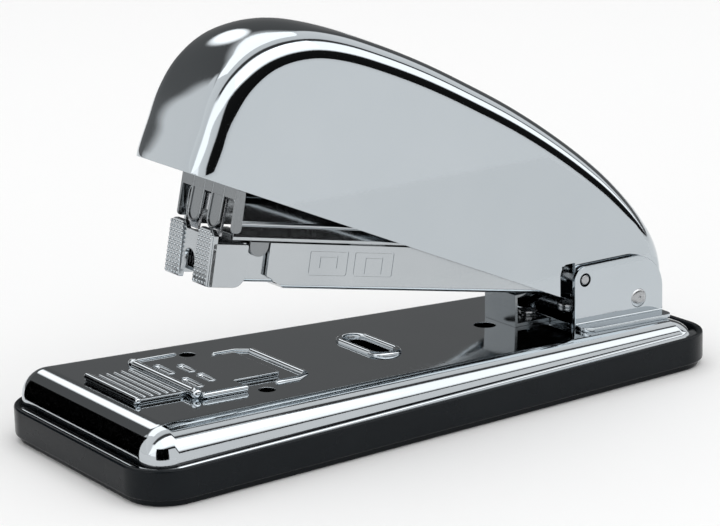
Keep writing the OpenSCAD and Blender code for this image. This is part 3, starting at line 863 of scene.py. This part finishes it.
def makeStaples():
    # separate wires, glued side by side
    s = strip
    parts = []
    low = s["crown"] - s["legs"]
    for i in range(int(s["length"] / s["pitch"])):
        x = s["front"] + s["pitch"] * (i + 0.5)
        outline = channelOutline(s["half"], s["wire"], -s["crown"], -low, 0.75, 3)
        outline = [(y, -z) for y, z in outline][::-1]
        near, far = x - s["thick"] / 2, x + s["thick"] / 2
        parts.append(flatPlate("staple", outline, near, far, "X", magazineFrame, 0.06))
    piece = join("staples", parts)
    dress(piece, finishes["stapleWire"], "drawer", ["staple_strip"], 35)


coil = {"front": -41.8, "rear": -9.7, "turns": 24, "radius": 1.7, "wire": 0.28, "height": 0.2}


def makePusherSpring():
    start, end, r = coil["front"], coil["rear"], coil["radius"]
    steps = 16 * coil["turns"]
    line = []
    for k in range(steps + 1):
        a = math.tau * k / 16
        line.append((start + (end - start) * k / steps, r * math.cos(a), coil["height"] + r * math.sin(a)))
    piece = rod("pusher_coil", line, coil["wire"], magazineFrame, 8)
    dress(piece, finishes["plainSteel"], "drawer", ["pusher_spring"], 60)
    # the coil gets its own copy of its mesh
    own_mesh(piece)


makeDrawer()
makeCatch()
makeStaples()
makePusherSpring()
print("drawer made")


ram = {"top": 14.4, "low": 5.6, "front": -90.6, "rear": -16}


def ramOutline():
    # half of the section, outside then inside, mirrored to the whole
    out = arc(7.0, ram["top"] - 2.0, 2.0, 90, 14, 8) + [(9.73, 9.55)]
    out += arc(9.6, 9.0, 0.45, 50, -60, 6)
    out += [(9.2, 8.35), (9.65, 6.3), (9.74, 5.95), (9.6, ram["low"])]
    inner = [(8.85, ram["low"]), (8.78, 8.2), (8.95, 9.3), (8.72, 12.5), (8.2, 13.25), (7.4, 13.6)]
    half = out + inner
    return half + [(-y, z) for y, z in half[::-1]]


def makeRam():
    outline = ramOutline()
    piece = flatPlate("ram_pressing", outline, ram["front"], ram["rear"], "X", magazineFrame, 0.08)
    start, top = ram["rear"] - 1, ram["top"]
    corners = [
        (start, 5.4), (start + 1, 5.5), (-7, -4), (4.5, -4), (6, -2.5), (6, 9), (2, top - 0.1),
        (start, top - 0.1),
    ]
    tail = rounded(corners, [0, 2, 1, 1, 1, 1, 2, 0])
    parts = [piece] + bothSides("tail", tail, 8.85, 9.55, magazineFrame, 0.1)
    parts.append(flatPlate("tailTop", box2(start, -9.0, 2.5, 9.0), top - 0.8, top, "Z", magazineFrame, 0.1))
    piece = join("ram_pressing", parts)
    dress(piece, finishes["sheetPlating"], "cover", ["ram_channel"], 40)


clip = {"front": -91.8, "turnHeight": 6.6, "lean": 4.5, "lobe": 3.75, "lobeRadius": 2.4, "lobeHeight": 9.2}


def makeRamBracket():
    # the front face leans back a little about its lower edge
    lean = Matrix.Translation((clip["front"], 0, clip["turnHeight"]))
    lean = lean @ Matrix.Rotation(math.radians(clip["lean"]), 4, "Y")
    place = magazineFrame @ lean @ Matrix.Translation((0, 0, -clip["turnHeight"]))
    r, height = clip["lobeRadius"], clip["lobeHeight"]
    rimR = r - 0.25
    parts = []
    for side in (-1, 1):
        middle = side * clip["lobe"]
        lobe = arc(middle, height, r, 180, 360, 18) + [(middle + r, 22.2), (middle - r, 22.2)]
        parts.append(flatPlate("lobe", lobe, -0.3, 0.0, "X", place, 0.1))
        rim = [(middle - rimR, 19)] + arc(middle, height, rimR, 180, 360, 18) + [(middle + rimR, 19)]
        parts.append(rod("rim", [(-0.32, u, v) for u, v in rim], 0.33, place, 10))
        low, high = sorted((side * 10.05, side * 10.65))
        wing = rounded([(-91.9, 7.0), (-89.4, 7.0), (-89.4, 21.6), (-91.5, 21.6)], [0.8, 1.0, 0.3, 0.3])
        parts.append(flatPlate("wing", wing, low, high, "Y", magazineFrame, 0.15))
    parts.append(flatPlate("bridge", box2(-10.2, 13.8, 10.2, 22.4), -0.5, 0.0, "X", place, 0.1))
    parts.append(rod("rib", [(-0.45, 0, 16.6), (-0.45, 0, 21.6)], 0.42, place, 12))
    piece = join("ram_clip", parts)
    dress(piece, finishes["darkSteel"], "cover", ["ram_bracket"], 40)


makeRam()
makeRamBracket()
print("ram made")


# Small parts keep their solids from the frame and only get a finish and a softened edge.

def dressNode(name, material):
    node = frame["nodes"][name]
    node.data.materials.clear()
    node.data.materials.append(finishes[material])
    node.data.shade_smooth()
    weld = node.modifiers.new("weld", "WELD")
    weld.merge_threshold = 1e-6
    edge = node.modifiers.new("edge", "BEVEL")
    edge.width = 0.00008
    edge.segments = 2
    edge.limit_method = "ANGLE"
    edge.angle_limit = math.radians(35)
    shading = node.modifiers.new("shading", "WEIGHTED_NORMAL")
    shading.keep_sharp = True


carried = {
    "bracket_rivet_front": "plainSteel", "bracket_rivet_rear": "plainSteel", "lift_spring": "darkSteel",
    "lift_spring_rivet": "plainSteel", "anvil_retainer": "plainSteel", "anvil_rivet_front": "plainSteel",
    "anvil_rivet_rear": "plainSteel", "nose_post": "plainSteel", "driver_blade": "stapleWire",
    "cover_spring": "darkSteel", "cover_spring_rivet": "plainSteel", "guard_rivet": "plainSteel",
    "guide_rod": "plainSteel", "rod_collar": "plainSteel", "pusher": "darkSteel",
}
for nodeName, finish in carried.items():
    dressNode(nodeName, finish)
print("carried-over parts dressed:", len(carried))


studio = {
    "floor": 0.86, "floorHalf": 6.0, "horizon": 1.0, "ambient": 0.85, "keyPower": 1.8, "backPower": 1.6,
    "spot": (0.152, 0.797, 0.585),  # direction of the small bright spot
    # brightness across the boxes overhead, from the near horizon over the top to the far one
    "boxes": [
        (0.0, 0.004), (0.17, 0.006), (0.20, 0.9), (0.39, 0.9), (0.41, 0.03), (0.46, 0.03), (0.48, 0.45),
        (0.72, 0.5), (0.76, 0.05), (0.88, 0.06), (1.0, 0.09),
    ],
    # brightness of the cards round the sides, from +X through +Y, -X and -Y back to +X
    "sides": [
        (0.0, 0.0), (0.318, 0.0), (0.328, 0.46), (0.515, 0.46), (0.53, 0.8), (0.575, 0.8), (0.59, 0.5),
        (0.655, 0.45), (0.668, 0.0), (1.0, 0.0),
    ],
    "sidesTop": [(0.0, 1.0), (0.60, 1.0), (0.68, 0.0), (1.0, 0.0)],
}


def makeFloor():
    size = studio["floorHalf"]
    corners = [(x, y, 0) for x, y in box2(-size, -size, size, size)]
    mesh = bpy.data.meshes.new("floor")
    mesh.from_pydata(corners, [], [(0, 1, 2, 3)])
    floor = newObject("floor", mesh)
    material, tree, shader, place = nodeMaterial("paleFloor")
    light = studio["floor"]
    tone = shaded(tree, noise(tree, place, 3, 2), (light, light, light), (light + 0.02,) * 3)
    tree.links.new(tone, shader.inputs["Base Color"])
    shader.inputs["Roughness"].default_value = 0.85
    shader.inputs["Specular IOR Level"].default_value = 0.1
    mesh.materials.append(material)


def areaLight(name, spot, target, sizeX, sizeY, power):
    data = bpy.data.lights.new(name, "AREA")
    data.shape = "RECTANGLE"
    data.size, data.size_y = sizeX, sizeY
    data.energy = power
    light = newObject(name, data)
    light.location = spot
    light.rotation_euler = (Vector(target) - Vector(spot)).to_track_quat("-Z", "Y").to_euler()
    return light


def calculate(tree, operation, a, b=None):
    node = tree.nodes.new("ShaderNodeMath")
    node.operation = operation
    for i, value in enumerate((a, b)):
        if value is None:
            continue
        if isinstance(value, (int, float)):
            node.inputs[i].default_value = value
        else:
            tree.links.new(value, node.inputs[i])
    return node.outputs[0]


def toneRamp(tree, value, stops):
    ramp = tree.nodes.new("ShaderNodeValToRGB")
    ramp.color_ramp.interpolation = "LINEAR"
    while len(ramp.color_ramp.elements) < len(stops):
        ramp.color_ramp.elements.new(1.0)
    for element, (where, tone) in zip(ramp.color_ramp.elements, stops):
        element.position = where
        element.color = (tone, tone, tone, 1)
    tree.links.new(value, ramp.inputs["Fac"])
    return ramp.outputs["Color"]


def blended(tree, kind, a, b):
    node = tree.nodes.new("ShaderNodeMix")
    node.data_type = "RGBA"
    node.blend_type = kind
    node.inputs["Factor"].default_value = 1.0
    tree.links.new(a, node.inputs["A"])
    tree.links.new(b, node.inputs["B"])
    return node.outputs["Result"]


def plainFor(tree, ray, usual, grey):
    # one kind of ray sees a plain grey in place of the studio
    node = tree.nodes.new("ShaderNodeMix")
    node.data_type = "RGBA"
    tree.links.new(ray, node.inputs["Factor"])
    tree.links.new(usual, node.inputs["A"])
    node.inputs["B"].default_value = (grey, grey, grey, 1)
    return node.outputs["Result"]


def makeWorld():
    # a dark studio with long soft boxes overhead and pale cards on the left; the camera sees white
    world = bpy.data.worlds.new("studio")
    bpy.context.scene.world = world
    world.use_nodes = True
    tree = world.node_tree
    back = tree.nodes["Background"]
    place = tree.nodes.new("ShaderNodeTexCoord").outputs["Generated"]
    parts = tree.nodes.new("ShaderNodeSeparateXYZ")
    tree.links.new(place, parts.inputs[0])
    x, y, z = parts.outputs
    nearer = calculate(tree, "MULTIPLY", y, -1.0)
    over = calculate(tree, "DIVIDE", calculate(tree, "ARCTAN2", z, nearer), math.pi)
    boxes = toneRamp(tree, over, studio["boxes"])
    turn = calculate(tree, "DIVIDE", calculate(tree, "ARCTAN2", y, x), math.tau)
    sides = toneRamp(tree, calculate(tree, "FRACT", turn), studio["sides"])
    height = toneRamp(tree, z, studio["sidesTop"])
    both = blended(tree, "LIGHTEN", boxes, blended(tree, "MULTIPLY", sides, height))
    facing = tree.nodes.new("ShaderNodeVectorMath")
    facing.operation = "DOT_PRODUCT"
    tree.links.new(place, facing.inputs[0])
    facing.inputs[1].default_value = studio["spot"]
    spot = toneRamp(tree, facing.outputs["Value"], [(0.0, 0.0), (0.983, 0.0), (0.991, 0.9), (1.0, 1.0)])
    lit = blended(tree, "LIGHTEN", both, spot)
    rays = tree.nodes.new("ShaderNodeLightPath")
    lit = plainFor(tree, rays.outputs["Is Diffuse Ray"], lit, studio["ambient"] / 2)
    lit = plainFor(tree, rays.outputs["Is Camera Ray"], lit, studio["horizon"] / 2)
    tree.links.new(lit, back.inputs["Color"])
    back.inputs["Strength"].default_value = 2.0


cards = {
    # middle, half length, direction along, low and high edges, brightness
    "nearCard": ((0.08, -0.075), 0.17, (1.0, 0.0), 0.002, 0.033, 0.95),
    "frontFlag": ((-0.088, 0.03), 0.038, (0.0, 1.0), 0.001, 0.034, 0.0),
    "cornerFlag": ((-0.093, -0.062), 0.02, (0.77, -0.64), 0.001, 0.034, 0.0),
}


def makeCards():
    # cards round the stapler that only its reflections can see
    for name, (middle, half, along, low, high, tone) in cards.items():
        ends = [(middle[0] + s * half * along[0], middle[1] + s * half * along[1]) for s in (-1, 1)]
        points = [(*ends[0], low), (*ends[1], low), (*ends[1], high), (*ends[0], high)]
        mesh = bpy.data.meshes.new(name)
        mesh.from_pydata(points, [], [(0, 1, 2, 3)])
        card = newObject(name, mesh)
        material = bpy.data.materials.new(name)
        material.use_nodes = True
        tree = material.node_tree
        tree.nodes.clear()
        glow = tree.nodes.new("ShaderNodeEmission")
        glow.inputs["Color"].default_value = (tone, tone, tone, 1)
        end = tree.nodes.new("ShaderNodeOutputMaterial")
        tree.links.new(glow.outputs[0], end.inputs["Surface"])
        mesh.materials.append(material)
        card.visible_camera = False
        card.visible_diffuse = False
        card.visible_shadow = False


def makeLights():
    centre = (0, 0, 0.03)
    areaLight("keyBox", (0.1, -0.55, 0.85), centre, 1.2, 0.5, studio["keyPower"])
    areaLight("backBox", (0.0, 0.45, 0.95), centre, 1.2, 0.5, studio["backPower"])


camera = {
    "azimuth": -34.42, "elevation": 15.06, "roll": -1.506, "lens": 129.88, "sensor": 36,
    "place": (-0.3054, -0.4410, 0.1752),
}


def makeCamera():
    data = bpy.data.cameras.new("camera")
    data.lens = camera["lens"]
    data.sensor_width = camera["sensor"]
    data.clip_start = 0.01
    view = newObject("camera", data)
    a, e = math.radians(camera["azimuth"]), math.radians(camera["elevation"])
    back = Vector((math.sin(a) * math.cos(e), -math.cos(a) * math.cos(e), math.sin(e)))
    right = Vector((math.cos(a), math.sin(a), 0))
    up = back.cross(right)
    turn = Matrix((right, up, back)).transposed().to_4x4()
    roll = Matrix.Rotation(math.radians(camera["roll"]), 4, "Z")
    view.matrix_world = Matrix.Translation(camera["place"]) @ turn @ roll
    bpy.context.scene.camera = view


makeFloor()
makeWorld()
makeCards()
makeLights()
makeCamera()
view = bpy.context.scene.view_settings
view.view_transform = "Standard"
view.look = "None"
print("studio made")
